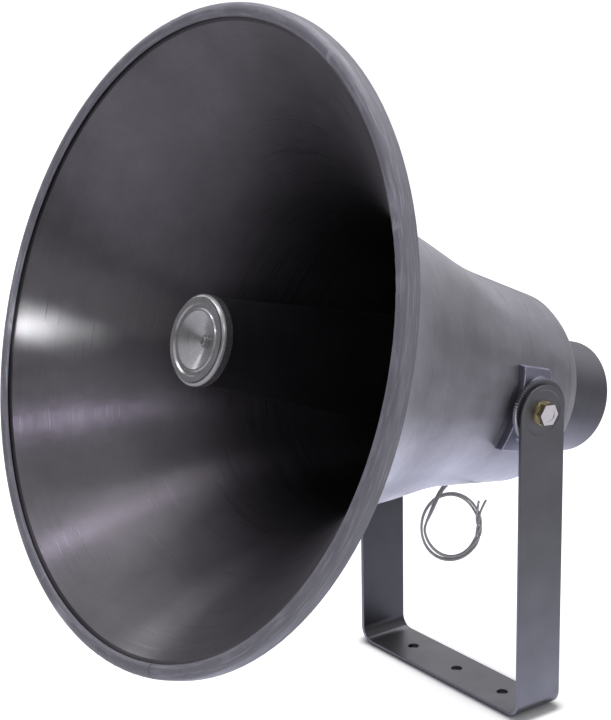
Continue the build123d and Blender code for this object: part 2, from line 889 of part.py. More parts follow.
def lead_point(distance, along, aside):
    """A point on the grommet's side of the horn, from its axis out, and aside from the grommet."""
    return horn_centre + AHEAD * along + lead_out * distance + lead_beside * aside


inner_lead_along = board_rear - tag_size[2] * 0.6

with BuildPart() as inner_leads:
    for side in (1, -1):
        with BuildLine() as inner_path:
            FilletPolyline(
                lead_point(grommet_tail_end, grommet_along, side * wire_pitch / 2),
                lead_point(inner_lead_circle, grommet_along, side * wire_pitch / 2),
                lead_point(inner_lead_circle, inner_lead_along, side * tag_pitch / 2),
                lead_point(tag_circle + tag_size[1] / 2, inner_lead_along, side * tag_pitch / 2),
                radius=inner_lead_bend * 0.9,
            )
        with BuildSketch(Plane(origin=inner_path.line @ 0, z_dir=inner_path.line % 0)):
            Circle(wire_diameter / 2)
        sweep(path=inner_path.line)
write(inner_leads, "inner_leads")

# ---------------------------------------------------------------- lugs, discs and bolts
disc_outside = leg_inside - disc_gap
boss_outside = disc_outside - disc_thickness
lug_inside = tail_radius * 0.75


def over_the_tail(distance):
    """The section of a solid that reaches that far out from the bell's tail, under a lug."""
    return section(
        (0, tab_rear * 2),
        (tail_at(tab_rear * 2) + distance, tab_rear * 2),
        (tail_at(tab_front * 2) + distance, tab_front * 2),
        (0, tab_front * 2),
    )


# the side view of a lug, as rearward and upward distances from the bolt
tab_corners = [
    (-tab_rear, tab_bottom),
    (-tab_rear, tab_top - tab_chamfer),
    (-tab_rear - tab_chamfer, tab_top),
    (-tab_front, tab_top),
    (-tab_front, tab_bottom),
]

with BuildPart() as right_lug:
    # a saddle that follows the bell's tail, with a round boss on it for the disc
    revolve(over_the_tail(seat_gap + tab_thickness), axis=horn_axis)
    with BuildSketch(beside(lug_inside)):
        Circle(boss_foot_radius)
    extrude(amount=boss_foot - lug_inside)
    with BuildSketch(beside(boss_foot)):
        Circle(boss_foot_radius)
    with BuildSketch(beside(boss_outside)):
        Circle(boss_top_radius)
    loft()
    with BuildSketch(beside(lug_inside)):
        with BuildLine():
            Polyline(*tab_corners, close=True)
        make_face()
    extrude(amount=boss_outside - lug_inside, mode=Mode.INTERSECT)
    revolve(over_the_tail(seat_gap), axis=horn_axis, mode=Mode.SUBTRACT)
    # tapped for the pivot bolt
    with BuildSketch(beside(lug_bore_inside - blind_end)):
        Circle(bolt_thread / 2 + screw_fit)
    extrude(amount=leg_outside - lug_bore_inside, mode=Mode.SUBTRACT)
    for lean in lug_screw_leans:
        with BuildSketch(lug_screw_plane(1, lean)):
            Circle(lug_screw / 2 + screw_fit)
        extrude(amount=-lug_screw_reach * 2, mode=Mode.SUBTRACT)
write(right_lug, "right_lug")

with BuildPart() as left_lug:
    add(mirror(right_lug.part, about=Plane.YZ))
write(left_lug, "left_lug")

with BuildPart() as lug_screws:
    for side in (1, -1):
        for lean in lug_screw_leans:
            tip = lug_screw_plane(side, lean)
            under_head = tip.offset(-lug_screw_reach - bell_wall - seat_gap)
            with BuildSketch(tip):
                Circle(lug_screw / 2)
            extrude(amount=-lug_screw_reach - bell_wall - seat_gap)
            with BuildSketch(under_head):
                Circle(lug_screw_head / 2)
            extrude(amount=-lug_screw_head_height, taper=14)
            with BuildSketch(under_head.offset(-lug_screw_head_height)):
                Rectangle(lug_screw_head * 0.5, 1)
                Rectangle(1, lug_screw_head * 0.5)
            extrude(amount=lug_screw_head_height / 2, mode=Mode.SUBTRACT)
write(lug_screws, "lug_screws")

tooth_root = disc_radius - disc_tooth
tooth_turn = 2 * pi / disc_teeth
tooth_corners = [
    (
        radius * cos(tooth * tooth_turn + lean * tooth_turn),
        radius * sin(tooth * tooth_turn + lean * tooth_turn),
    )
    for tooth in range(disc_teeth)
    for radius, lean in ((tooth_root, 0.0), (disc_radius, 0.3), (disc_radius, 0.7))
]

with BuildPart() as right_friction_disc:
    with BuildSketch(beside(boss_outside)):
        with BuildLine():
            Polyline(*tooth_corners, close=True)
        make_face()
        Circle(bolt_thread / 2 + screw_fit, mode=Mode.SUBTRACT)
    extrude(amount=disc_thickness)
write(right_friction_disc, "right_friction_disc")

with BuildPart() as left_friction_disc:
    add(mirror(right_friction_disc.part, about=Plane.YZ))
write(left_friction_disc, "left_friction_disc")

bolt_flange_inside = leg_outside - leg_dish_depth + bolt_gap
bolt_end = bolt_flange_inside + bolt_head
hex_radius = bolt_across_flats / 2 / cos(radians(30))

with BuildPart() as pivot_bolts:
    for side in (1, -1):
        out = RIGHT * side

        def bolt_plane(distance):
            """Faces out along this bolt, that far from the middle."""
            return Plane(origin=pivot + out * distance, x_dir=AHEAD, z_dir=out)

        with BuildSketch(bolt_plane(bolt_flange_inside)):
            RegularPolygon(hex_radius, 6, rotation=12)
        extrude(amount=bolt_head)
        # the head's top is hollowed
        with BuildSketch(bolt_plane(bolt_end)):
            Circle(bolt_across_flats * 0.34)
        extrude(amount=-bolt_head_recess, mode=Mode.SUBTRACT)
        with BuildSketch(bolt_plane(bolt_flange_inside)):
            Circle(bolt_flange_radius)
        extrude(amount=bolt_flange, taper=20)
        with BuildSketch(bolt_plane(lug_bore_inside)):
            Circle(bolt_thread / 2)
        extrude(amount=bolt_flange_inside - lug_bore_inside)
write(pivot_bolts, "pivot_bolts")

# ---------------------------------------------------------------- leads
heading = radians(loop_heading)
loop_right = Vector(cos(heading), sin(heading), 0)
UP = Vector(0, 0, 1)
loop_middle = Vector(*loop_centre)
loop_plane = Plane(origin=loop_middle, x_dir=loop_right, z_dir=loop_right.cross(UP))


def loop_point(turn):
    """The middle of the bundle, that many degrees round the loop from its right side."""
    return (
        loop_middle
        + loop_right * (loop_half_width * cos(radians(turn)))
        + UP * (loop_half_height * sin(radians(turn)))
    )


leads_middle = [
    lead_point(grommet_tail_end, grommet_along, 0),
    lead_point(grommet_end + lead_straight, grommet_along, 0),
    *[Vector(*point) for point in lead_route],
    loop_point(180),
]
shortest_bend = wire_diameter * 3


def bend_radius_at(before, corner, after):
    """As wide a bend as the shorter run each side of a corner allows."""
    turn = (corner - before).get_angle(after - corner)
    shorter = min((corner - before).length, (after - corner).length)
    return 0.45 * shorter / tan(radians(turn) / 2)


lead_bends = [
    bend_radius_at(*leads_middle[first:first + 3]) for first in range(len(leads_middle) - 2)
]
lead_bend = min(lead_bends)
print("lead bends", [round(bend, 1) for bend in lead_bends], "least allowed", shortest_bend)

with BuildPart() as lead_wires:
    for side in (1, -1):
        aside = lead_beside * (side * wire_pitch / 2)
        with BuildLine() as lead_path:
            FilletPolyline(*[point + aside for point in leads_middle], radius=lead_bend)
        with BuildSketch(Plane(origin=lead_path.line @ 0, z_dir=lead_path.line % 0)):
            Circle(wire_diameter / 2)
        sweep(path=lead_path.line)
        print("lead", round(lead_path.wires()[0].length, 1), "mm long")
write(lead_wires, "lead_wires")
print("lead volume", round(lead_wires.part.volume, 1))

with BuildPart() as lead_loop:
    with BuildSketch(Plane(origin=loop_point(0), x_dir=loop_right, z_dir=UP)):
        Circle(loop_bundle)
    sweep(path=Wire(Edge.make_ellipse(loop_half_width, loop_half_height, loop_plane)))
write(lead_loop, "lead_loop")

with BuildPart() as lead_ends:
    for lean in free_end_leans:
        start = loop_point(free_end_start)
        way = UP * cos(radians(lean)) + loop_right * sin(radians(lean))
        with BuildSketch(Plane(origin=start, x_dir=loop_right.cross(UP), z_dir=way)):
            Circle(wire_diameter / 2)
        extrude(amount=free_end_length)
write(lead_ends, "lead_ends")
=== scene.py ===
# %% [markdown]
# # A horn loudspeaker, finished in Blender
#
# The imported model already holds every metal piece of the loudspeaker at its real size: the spun
# bell, the reflector tube in its middle, the driver's cover, the bracket and the bolts. This script
# loads that model as a fixed frame and adds what the metal alone doesn't show: the paint and its
# spinning marks, the plated fasteners, and the two leads that hang under the bell in a loop.
#
# Everything is in metres, with +Z up and the horn facing -Y.

# %% Load the frame
import json
from math import cos, degrees, pi, radians, sin

import bmesh
import bpy
from mathutils import Matrix, Vector


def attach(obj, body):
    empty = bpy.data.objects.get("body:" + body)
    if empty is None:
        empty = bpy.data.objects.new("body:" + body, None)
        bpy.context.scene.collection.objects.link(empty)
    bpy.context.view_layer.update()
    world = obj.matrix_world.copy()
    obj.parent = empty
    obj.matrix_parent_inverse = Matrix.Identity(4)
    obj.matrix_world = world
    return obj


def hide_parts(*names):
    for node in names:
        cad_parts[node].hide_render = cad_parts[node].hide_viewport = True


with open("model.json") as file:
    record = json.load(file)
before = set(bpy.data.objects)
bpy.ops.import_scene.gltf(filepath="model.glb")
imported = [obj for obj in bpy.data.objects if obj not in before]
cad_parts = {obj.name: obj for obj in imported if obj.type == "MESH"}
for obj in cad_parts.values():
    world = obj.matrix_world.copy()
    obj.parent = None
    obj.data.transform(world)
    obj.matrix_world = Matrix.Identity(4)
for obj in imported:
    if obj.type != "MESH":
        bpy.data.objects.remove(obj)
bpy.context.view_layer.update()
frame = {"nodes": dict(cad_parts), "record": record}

# %% [markdown]
# The horn is tipped up in its bracket, so its own axis isn't one of the world's. The record gives
# that axis: the diaphragm travels along it, and the horn tilts about its bolts. From those two
# joints come three directions that the rest of the script works in: ahead, right and rise.

# %% The horn's own directions
joints = {joint["name"]: joint for joint in frame["record"]["behaviour"]["joints"]}
AHEAD = Vector(joints["diaphragm_travel"]["axis"]).normalized()
RIGHT = Vector((1.0, 0.0, 0.0))
RISE = AHEAD.cross(RIGHT)
UP = Vector((0.0, 0.0, 1.0))

pivot = Vector(joints["horn_tilt"]["pos_m"])
axis_above_pivot = 0.003
horn_centre = pivot + RISE * axis_above_pivot
horn_turn = RISE.angle(Vector((0.0, 1.0, 0.0)))
print("the horn is tipped up by", round(90 - degrees(horn_turn), 1), "degrees")

# %% [markdown]
# The camera stands ahead of the horn and to its right, a little above it, with a long lens. It is
# placed first, because the leads are judged by what it sees of them. Blender's camera looks along
# its own -Z, so its turn is a matrix whose columns are its right, its up and the way back.

# %% The camera
camera_place = Vector((1.2454, -1.0649, 0.7677))
camera_heading = radians(53.83)
camera_pitch = radians(-16.60)
camera_roll = radians(-1.02)
lens_mm = 104.18
film_mm = 36.0

look = Vector((
    -sin(camera_heading) * cos(camera_pitch),
    cos(camera_heading) * cos(camera_pitch),
    sin(camera_pitch),
))
level_right = Vector((cos(camera_heading), sin(camera_heading), 0.0))
level_up = level_right.cross(look)
camera_right = level_right * cos(camera_roll) + level_up * sin(camera_roll)
camera_up = level_up * cos(camera_roll) - level_right * sin(camera_roll)

camera = bpy.data.objects.new("camera", bpy.data.cameras.new("camera"))
camera.data.sensor_fit = "VERTICAL"
camera.data.sensor_height = film_mm
camera.data.lens = lens_mm
camera.data.clip_start = 0.05
camera.data.clip_end = 30.0
turn = Matrix((camera_right, camera_up, -look)).transposed()
camera.matrix_world = Matrix.Translation(camera_place) @ turn.to_4x4()
bpy.context.scene.collection.objects.link(camera)
bpy.context.scene.camera = camera
print("camera", [round(c, 3) for c in camera_place], "lens", lens_mm, "mm")

# %% [markdown]
# ## The leads
#
# Two single leads come out of the driver's cover through a grommet, and run forward side by side
# under the bell to a loop. They start straight out of the grommet, which sits low on the cover's
# side, so its place comes from the horn's centre: a distance along the axis, and a turn round it.
# After that the route is a few points, in metres.

# %% Where the leads run
wire_diameter = 0.0021
wire_pitch = 0.0025
grommet_along = -0.110
grommet_turn = radians(240.0)
cover_inside_radius = 0.0435
straight_end_radius = 0.062
lead_out = RIGHT * cos(grommet_turn) + RISE * sin(grommet_turn)
lead_beside = lead_out.cross(AHEAD)
grommet_foot = horn_centre + AHEAD * grommet_along

lead_route = [
    Vector((-0.0360, 0.0680, 0.1660)),
    Vector((-0.0365, 0.0460, 0.1630)),
    Vector((-0.0340, 0.0240, 0.1615)),
    Vector((-0.0310, 0.0070, 0.1535)),
    Vector((-0.0324, -0.0002, 0.1385)),
]
lead_start = grommet_foot + lead_out * cover_inside_radius
print("the leads leave the cover at", [round(c, 3) for c in lead_start])

# %% [markdown]
# The leads are wound up for carriage: down the left of a loop, round its bottom, up its right side,
# over the top and down again. Each turn is the same oval with a small offset outwards and a small
# offset sideways, so the loop's points are worked out by one function.

# %% The loop
loop_middle = Vector((-0.0250, 0.0146, 0.1214))
loop_heading = radians(53.8)
loop_half_width = 0.0242
loop_half_height = 0.0290
loop_right = Vector((cos(loop_heading), sin(loop_heading), 0.0))
loop_near = loop_right.cross(UP)


def loop_point(angle, out, near):
    """A point on the oval, moved outwards and nearer by those amounts; 0 is its right side."""
    across, high = cos(radians(angle)), sin(radians(angle))
    outward = loop_right * (across / loop_half_width) + UP * (high / loop_half_height)
    on_oval = loop_right * (loop_half_width * across) + UP * (loop_half_height * high)
    return loop_middle + on_oval + outward.normalized() * out + loop_near * near


print("the loop is", round(2000 * loop_half_height), "mm high at the middle of its leads")

# %% [markdown]
# In the bundle the four passes lie at the corners of a square: the first pass inside, the second
# outside, and the two leads one behind the other. At the lower left the square is slack. Up the
# right side the whole square turns as it goes, like the strands of a rope, which is what holds the
# loop together.

# %% The bundle
half_square = 0.00125
half_square_slack = 0.0019
slack_start = 185.0
slack_end = 275.0
twist_start = 315.0
twist_end = 392.0
twist_turns = 0.75
twist_swelling = 0.25


def share_of(value, start, end):
    """How far value is from start to end, from 0 to 1."""
    return min(max((value - start) / (end - start), 0.0), 1.0)


def eased(share):
    """The same share, but slow to start and slow to stop."""
    return share * share * (3 - 2 * share)


def bundle_offset(angle, lead, second_pass):
    """(outwards, nearer) from the oval, for one lead on its first or second pass."""
    turn_here = angle - 360.0 if second_pass else angle
    out = half_square if second_pass else -half_square
    near = lead * half_square
    slack = sin(pi * share_of(turn_here, slack_start, slack_end))
    out *= 1.0 + slack * (half_square_slack / half_square - 1.0)
    twist = eased(share_of(turn_here, twist_start, twist_end))
    apart = 1.0 + twist_swelling * sin(pi * twist)
    rope = -2 * pi * twist_turns * twist
    return (
        (out * cos(rope) - near * sin(rope)) * apart,
        (out * sin(rope) + near * cos(rope)) * apart,
    )


print("the bundle twists by", twist_turns, "of a turn up the loop's right side")

# %% [markdown]
# A lead's route is the straight start, the points under the bell, the first pass, the top of the
# loop and the second pass. Over the top it moves from the inside of the bundle to its outside. Its
# bare end then stands away from the bundle at the loop's upper right.

# %% One lead's route
step = 15
first_angles = range(180, 376, step)
top_angles = range(390, 540, step)
second_angles = range(540, 736, step)
crossing_start = 390
crossing_end = 500

free_ends = {
    1: [(0.0222, 0.0165, 0.0034), (0.0231, 0.0244, 0.0040)],
    -1: [(0.0247, 0.0145, 0.0010), (0.0297, 0.0237, 0.0004)],
}


def free_end(lead):
    """The bare end's points. Each is given across, above and nearer than the loop's middle."""
    return [
        loop_middle + loop_right * across + UP * high + loop_near * near
        for across, high, near in free_ends[lead]
    ]


def lead_points(lead):
    """The route's points, from the grommet to the bare end. lead is 1 for the nearer one."""
    aside = lead_beside * (lead * wire_pitch / 2)
    points = [lead_start + aside, grommet_foot + lead_out * straight_end_radius + aside]
    points += [point + aside for point in lead_route]
    points += [loop_point(angle, *bundle_offset(angle, lead, False)) for angle in first_angles]
    last_out, last_near = bundle_offset(twist_end, lead, False)
    for angle in top_angles:
        crossed = eased(share_of(angle, crossing_start, crossing_end))
        out = last_out + (half_square - last_out) * crossed
        near = last_near + (lead * half_square - last_near) * crossed
        points.append(loop_point(angle, out, near))
    points += [loop_point(angle, *bundle_offset(angle, lead, True)) for angle in second_angles]
    return points + free_end(lead)


print("each lead's route has", len(lead_points(1)), "points")

# %% [markdown]
# A cord has a real length, and the one that each lead is said to have is measured on its finished
# curve. Without its bevel the curve turns into a chain of short edges, and their lengths add up.

# %% How long a curve is
def curve_length(curve):
    """The length of a curve object's own line, measured on a copy with no bevel."""
    plain = curve.copy()
    plain.data = curve.data.copy()
    plain.data.bevel_depth = 0.0
    bpy.context.scene.collection.objects.link(plain)
    evaluated = plain.evaluated_get(bpy.context.evaluated_depsgraph_get())
    line = bpy.data.meshes.new_from_object(evaluated)
    length = sum(
        (line.vertices[edge.vertices[0]].co - line.vertices[edge.vertices[1]].co).length
        for edge in line.edges
    )
    bpy.data.objects.remove(plain)
    bpy.data.meshes.remove(line)
    return length


print("curves can be measured")

# %% [markdown]
# Each lead is one curve, a NURBS spline with the route's points as its control points. The spline's
# order is set after its points are added. Set before, it would stay at straight runs. A tube's
# thickness is the bevel's depth times each point's radius, and Blender's box for a curve grows by
# that radius alone, so the radius holds the real size and the depth is 1. The two leads stand in
# for the model's own plain leads.

# %% Make the two leads
def make_lead(name, lead):
    """One lead as a NURBS curve with a round section, riding on the horn."""
    points = lead_points(lead)
    data = bpy.data.curves.new(name, "CURVE")
    data.dimensions = "3D"
    spline = data.splines.new("NURBS")
    spline.points.add(len(points) - 1)
    for control, point in zip(spline.points, points):
        control.co = (*point, 1.0)
        control.radius = wire_diameter / 2
    spline.order_u = 3
    spline.use_endpoint_u = True
    data.resolution_u = 6
    data.bevel_depth = 1.0
    data.bevel_resolution = 5
    data.use_fill_caps = True
    curve = bpy.data.objects.new(name, data)
    bpy.context.scene.collection.objects.link(curve)
    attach(curve, "horn")
    length = curve_length(curve)
    print(name, "is", round(length, 3), "m long")
    return curve


near_lead = make_lead("near_lead", 1)
far_lead = make_lead("far_lead", -1)
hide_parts("lead_wires", "lead_loop")
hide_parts("lead_ends")

# %% [markdown]
# ## The room
#
# The loudspeaker stands in a white room: a floor, a world and some lamps. Their looks are built
# from nodes, as the finishes are later on. These helpers keep that short. Wherever one of them
# takes a value, it can be another node's socket, which is linked, or a constant, which is set.

# %% Helpers for nodes
def feed(tree, value, socket):
    """Gives a socket its value: a link if the value is a socket, or else a constant."""
    if hasattr(value, "is_linked"):
        tree.links.new(value, socket)
    else:
        socket.default_value = value


def new_node(tree, kind, **values):
    """A new node, with values for the inputs that are named."""
    node = tree.nodes.new("ShaderNode" + kind)
    for name, value in values.items():
        feed(tree, value, node.inputs[name])
    return node


def in_order(tree, kind, operation, values):
    """A new node that does one operation, with values for its inputs from the first on."""
    node = new_node(tree, kind)
    if operation:
        node.operation = operation
    for socket, value in zip(node.inputs, values):
        feed(tree, value, socket)
    return node


def mixed_shaders(tree, share, first, second):
    """The first shader where share is 0, and the second where it is 1."""
    return in_order(tree, "MixShader", None, (share, first, second)).outputs[0]


def added_shaders(tree, first, second):
    """Two shaders on top of each other."""
    return in_order(tree, "AddShader", None, (first, second)).outputs[0]


def shining(tree, kind, colour, strength):
    """An Emission or Background shader."""
    return new_node(tree, kind, Color=(*colour, 1.0), Strength=strength).outputs[0]


print("node helpers ready")

# %% [markdown]
# Most patterns start at a place and end at a number between two levels, with some sums in between.

# %% Helpers for sums
def arithmetic(tree, operation, *values):
    """A Math node's result."""
    return in_order(tree, "Math", operation, values).outputs[0]


def vector_math(tree, operation, *values):
    """A Vector Math node's result, which is a number for some operations."""
    node = in_order(tree, "VectorMath", operation, values)
    return node.outputs["Value" if operation in ("DOT_PRODUCT", "DISTANCE") else "Vector"]


def part_of(tree, vector, axis):
    """One of a vector's three parts: X, Y or Z."""
    return new_node(tree, "SeparateXYZ", Vector=vector).outputs[axis]


def map_range(tree, value, source, result=(0.0, 1.0), smooth=False):
    """Maps a value from one range to another, and holds it between that range's ends."""
    node = new_node(tree, "MapRange", Value=value)
    if smooth:
        node.interpolation_type = "SMOOTHSTEP"
    for name, end in zip(("From Min", "From Max", "To Min", "To Max"), (*source, *result)):
        node.inputs[name].default_value = end
    return node.outputs["Result"]


def object_place(tree):
    """The place on an object, in metres, which doesn't change when the object moves."""
    return new_node(tree, "TexCoord").outputs["Object"]


print("sum helpers ready")

# %% [markdown]
# The floor is a plain pale plane that keeps the shadow. To the camera it also glows, so that it
# runs into the white of the background. Under the bracket the glow would fill the bolt holes with
# light, so it fades where Ambient Occlusion says that the floor is boxed in. Reflections see a
# cooler glow instead, a pool of light that fades away from the object. The floor lies just under
# the bracket's base, so that the two don't share a plane.

# %% Floor
floor_half_width = 6.0
floor_drop = 0.0005
floor_grey = 0.80
camera_glow = 0.72
boxed_in_reach = 0.012
boxed_in_edges = (0.70, 1.00)
pool_middle = (-0.03, 0.03, 0.0)
pool_edges = (0.10, 0.48)
pool_levels = (1.8, 0.20)
WHITE = (1.0, 1.0, 1.0)
COOL = (0.78, 0.80, 1.0)

floor_mesh = bpy.data.meshes.new("floor")
floor_shape = bmesh.new()
bmesh.ops.create_grid(floor_shape, x_segments=1, y_segments=1, size=floor_half_width)
floor_shape.to_mesh(floor_mesh)
floor_shape.free()
floor = bpy.data.objects.new("floor", floor_mesh)
floor.location.z = -floor_drop
bpy.context.scene.collection.objects.link(floor)

floor_finish = bpy.data.materials.new("floor")
floor_finish.use_nodes = True
tree = floor_finish.node_tree
tree.nodes.clear()
ray = new_node(tree, "LightPath")
surroundings = new_node(tree, "AmbientOcclusion", Distance=boxed_in_reach)
surroundings.samples = 16
openness = map_range(tree, surroundings.outputs["AO"], boxed_in_edges)
glow_level = arithmetic(tree, "MULTIPLY", ray.outputs["Is Camera Ray"], camera_glow)
from_middle = vector_math(tree, "DISTANCE", object_place(tree), pool_middle)
pool = map_range(tree, from_middle, pool_edges, pool_levels, smooth=True)
pool_level = arithmetic(tree, "MULTIPLY", ray.outputs["Is Glossy Ray"], pool)
glow = shining(tree, "Emission", WHITE, arithmetic(tree, "MULTIPLY", glow_level, openness))
glint = shining(tree, "Emission", COOL, arithmetic(tree, "MULTIPLY", pool_level, openness))
paper = new_node(tree, "BsdfDiffuse", Color=(floor_grey, floor_grey, floor_grey, 1.0)).outputs[0]
floor_look = added_shaders(tree, paper, added_shaders(tree, glow, glint))
new_node(tree, "OutputMaterial", Surface=floor_look)
floor_mesh.materials.append(floor_finish)
print("the floor is", round(floor.dimensions.x), "m wide")

# %% [markdown]
# The world is white to the camera, and a plain grey level to diffuse light. A satin metal shows
# whatever it faces, and a studio is white behind the object but darker in front of it, where
# nobody looks. So reflections see white above and behind, and darker levels in front and low down.
# The direction that a ray goes is the world's own Generated coordinate.

# %% World
white_strength = 1.0
diffuse_level = 0.45
dark_side = Vector((0.35, -0.92, 0.18)).normalized()
dark_side_edges = (-0.65, 0.55)
level_behind, level_in_front = 1.0, 0.40
height_edges = (0.15, 0.80)
level_low, level_high = 0.55, 2.10

world = bpy.data.worlds.new("white_room")
bpy.context.scene.world = world
world.use_nodes = True
tree = world.node_tree
tree.nodes.clear()
ray = new_node(tree, "LightPath")
way = new_node(tree, "TexCoord").outputs["Generated"]
to_front = vector_math(tree, "DOT_PRODUCT", way, dark_side)
by_front = map_range(tree, to_front, dark_side_edges, (level_behind, level_in_front), smooth=True)
up_share = part_of(tree, way, "Z")
by_height = map_range(tree, up_share, height_edges, (level_low, level_high), smooth=True)
mirrored_level = arithmetic(tree, "MULTIPLY", by_front, by_height)
plain = shining(tree, "Background", (0.97, 0.97, 1.0), diffuse_level)
mirrored = shining(tree, "Background", (0.96, 0.96, 1.0), mirrored_level)
white = shining(tree, "Background", WHITE, white_strength)
to_lights = mixed_shaders(tree, ray.outputs["Is Glossy Ray"], plain, mirrored)
seen = arithmetic(
    tree, "MAXIMUM", ray.outputs["Is Camera Ray"], ray.outputs["Is Transmission Ray"]
)
new_node(tree, "OutputWorld", Surface=mixed_shaders(tree, seen, to_lights, white))
print("reflections see the level", level_behind, "behind and", level_in_front, "in front")

# %% [markdown]
# Soft lamps do the lighting. Each is a rectangle that faces a point on the horn. Four lamps stand
# ahead of the mouth: the spun metal draws each of them out into a streak from the middle of the
# bell to its edge. Three of them are small, for narrow streaks, and the one at the right is large.
# The front lamp has a narrow beam, so its streak stays a short bright patch. A narrow beam packs
# all of a lamp's power together, which is why it needs so few watts. The lamps at the left, the
# top and the side fill in the rest. The Standard view shows colours about as they are written.

# %% Lamps
LAVENDER = (0.84, 0.78, 1.0)
PALE_GREEN = (0.93, 1.0, 0.96)


def lamp(name, place, target, size, watts, colour=WHITE, beam=180.0):
    """A soft rectangular lamp that faces a point. Its beam is an angle in degrees."""
    data = bpy.data.lights.new(name, "AREA")
    data.shape = "RECTANGLE"
    data.size, data.size_y = size
    data.energy = watts
    data.color = colour
    data.spread = radians(beam)
    facing = (Vector(target) - Vector(place)).to_track_quat("-Z", "Y").to_matrix()
    obj = bpy.data.objects.new(name, data)
    obj.matrix_world = Matrix.Translation(place) @ facing.to_4x4()
    bpy.context.scene.collection.objects.link(obj)


small, medium, large = (0.10, 0.10), (0.35, 0.35), (0.70, 0.70)
lamp(
    "front_lamp",
    place=(0.76, -1.73, 1.02),
    target=(-0.252, -0.28, 0.325),
    size=small,
    watts=0.013,
    colour=PALE_GREEN,
    beam=3.8,
)
lamp(
    "right_front_lamp",
    place=(1.05, -1.75, 0.68),
    target=(-0.20, -0.28, 0.36),
    size=large,
    watts=1.7,
)
lamp(
    "high_front_lamp",
    place=(0.35, -1.44, 1.56),
    target=(-0.18, -0.28, 0.25),
    size=small,
    watts=1.9,
    colour=LAVENDER,
)
lamp(
    "front_left_lamp",
    place=(-0.57, -1.03, 1.80),
    target=(-0.10, -0.28, 0.17),
    size=small,
    watts=1.4,
    colour=LAVENDER,
)
lamp(
    "left_lamp",
    place=(-1.62, -0.49, 1.01),
    target=(0.03, -0.30, 0.12),
    size=medium,
    watts=0.7,
)
lamp(
    "top_lamp",
    place=(-0.4, 0.2, 2.2),
    target=(0.0, 0.0, 0.3),
    size=(1.4, 1.4),
    watts=18.0,
)
lamp(
    "side_lamp",
    place=(1.6, 0.3, 0.5),
    target=(0.0, 0.0, 0.25),
    size=(0.6, 0.9),
    watts=3.0,
)
bpy.context.scene.view_settings.view_transform = "Standard"

# %% [markdown]
# ## Finishes
#
# Every finish is built from nodes on the Principled shader. Its plain values are set on the
# shader's own sockets, and nodes are linked only where something changes over the surface.

# %% Start a finish and give it
def start_finish(name, colour, metallic, roughness):
    """A new material with a Principled shader. Returns (material, tree, shader)."""
    finish = bpy.data.materials.new(name)
    finish.use_nodes = True
    tree = finish.node_tree
    shader = tree.nodes["Principled BSDF"]
    shader.inputs["Base Color"].default_value = (*colour, 1.0)
    shader.inputs["Metallic"].default_value = metallic
    shader.inputs["Roughness"].default_value = roughness
    finish.diffuse_color = (*colour, 1.0)
    return finish, tree, shader


def give(finish, *nodes):
    """Puts a finish on CAD nodes, in place of what they came with."""
    for name in nodes:
        mesh = frame["nodes"][name].data
        mesh.materials.clear()
        mesh.materials.append(finish)


print(len(frame["nodes"]), "CAD nodes to finish")

# %% [markdown]
# Real paint is never quite even. Noise gives it clouds and specks. On the round pieces the marks
# run in rings, so there the noise is read in the horn's own directions: drawn out into arcs round
# the axis, and packed close along it. The Texture kind of Mapping node turns a place from the
# world's directions to those, with Z ahead. Noise goes from 0 to 1, but most of it lies in the
# middle, so spreading it out starts from there.

# %% Patterns
most_noise = (0.3, 0.7)


def in_horn_directions(tree, vector, centre=(0.0, 0.0, 0.0)):
    """A vector from that centre, turned so that Z is ahead along the horn's axis."""
    node = new_node(tree, "Mapping", Vector=vector, Location=centre, Rotation=(horn_turn, 0.0, 0.0))
    node.vector_type = "TEXTURE"
    return node.outputs["Vector"]


def horn_place(tree):
    """The place from the horn's centre, with Z ahead along its axis."""
    return in_horn_directions(tree, object_place(tree), horn_centre)


def noise(tree, place, scale, detail=4.0, rough=0.55):
    """Noise from 0 to 1, with scale patches to the metre."""
    node = new_node(tree, "TexNoise", Vector=place, Scale=scale, Detail=detail, Roughness=rough)
    return node.outputs["Fac"]


def ring_noise(tree, place, across_rings, along_rings, detail):
    """Noise drawn out into arcs round the horn's axis."""
    out = vector_math(tree, "NORMALIZE", vector_math(tree, "MULTIPLY", place, (1.0, 1.0, 0.0)))
    round_about = vector_math(tree, "MULTIPLY", out, (along_rings,) * 3)
    forward = vector_math(tree, "MULTIPLY", place, (0.0, 0.0, across_rings))
    return noise(tree, vector_math(tree, "ADD", round_about, forward), scale=1.0, detail=detail)


def spread(tree, value, low, high):
    """Maps noise to the range from low to high."""
    return map_range(tree, value, most_noise, (low, high))


print("patterns ready, centred at", [round(c, 4) for c in horn_centre])

# %% [markdown]
# Two more helpers mix colours and lay bumps one under another.

# %% Colours and bumps
def times(colour, share):
    """A colour made darker or lighter by that share."""
    return tuple(part * share for part in colour)


def blend_colours(tree, share, first, second):
    """The first colour where share is 0, and the second where it is 1."""
    node = tree.nodes.new("ShaderNodeMix")
    node.data_type = "RGBA"
    feed(tree, share, node.inputs["Factor"])
    for name, colour in (("A", first), ("B", second)):
        socket = [i for i in node.inputs if i.name == name and i.type == "RGBA"][0]
        feed(tree, colour if hasattr(colour, "is_linked") else (*colour, 1.0), socket)
    return [o for o in node.outputs if o.type == "RGBA"][0]


def bump(tree, shader, height, strength, distance):
    """Adds one layer of bump under any that the shader has already."""
    node = new_node(tree, "Bump", Height=height, Strength=strength, Distance=distance)
    normal = shader.inputs["Normal"]
    if normal.is_linked:
        tree.links.new(normal.links[0].from_socket, node.inputs["Normal"])
    tree.links.new(node.outputs["Normal"], normal)


def uneven_gloss(tree, shader, pattern, low, high):
    """Roughness that follows a pattern between two levels."""
    tree.links.new(spread(tree, pattern, low, high), shader.inputs["Roughness"])


print("colours and bumps ready")

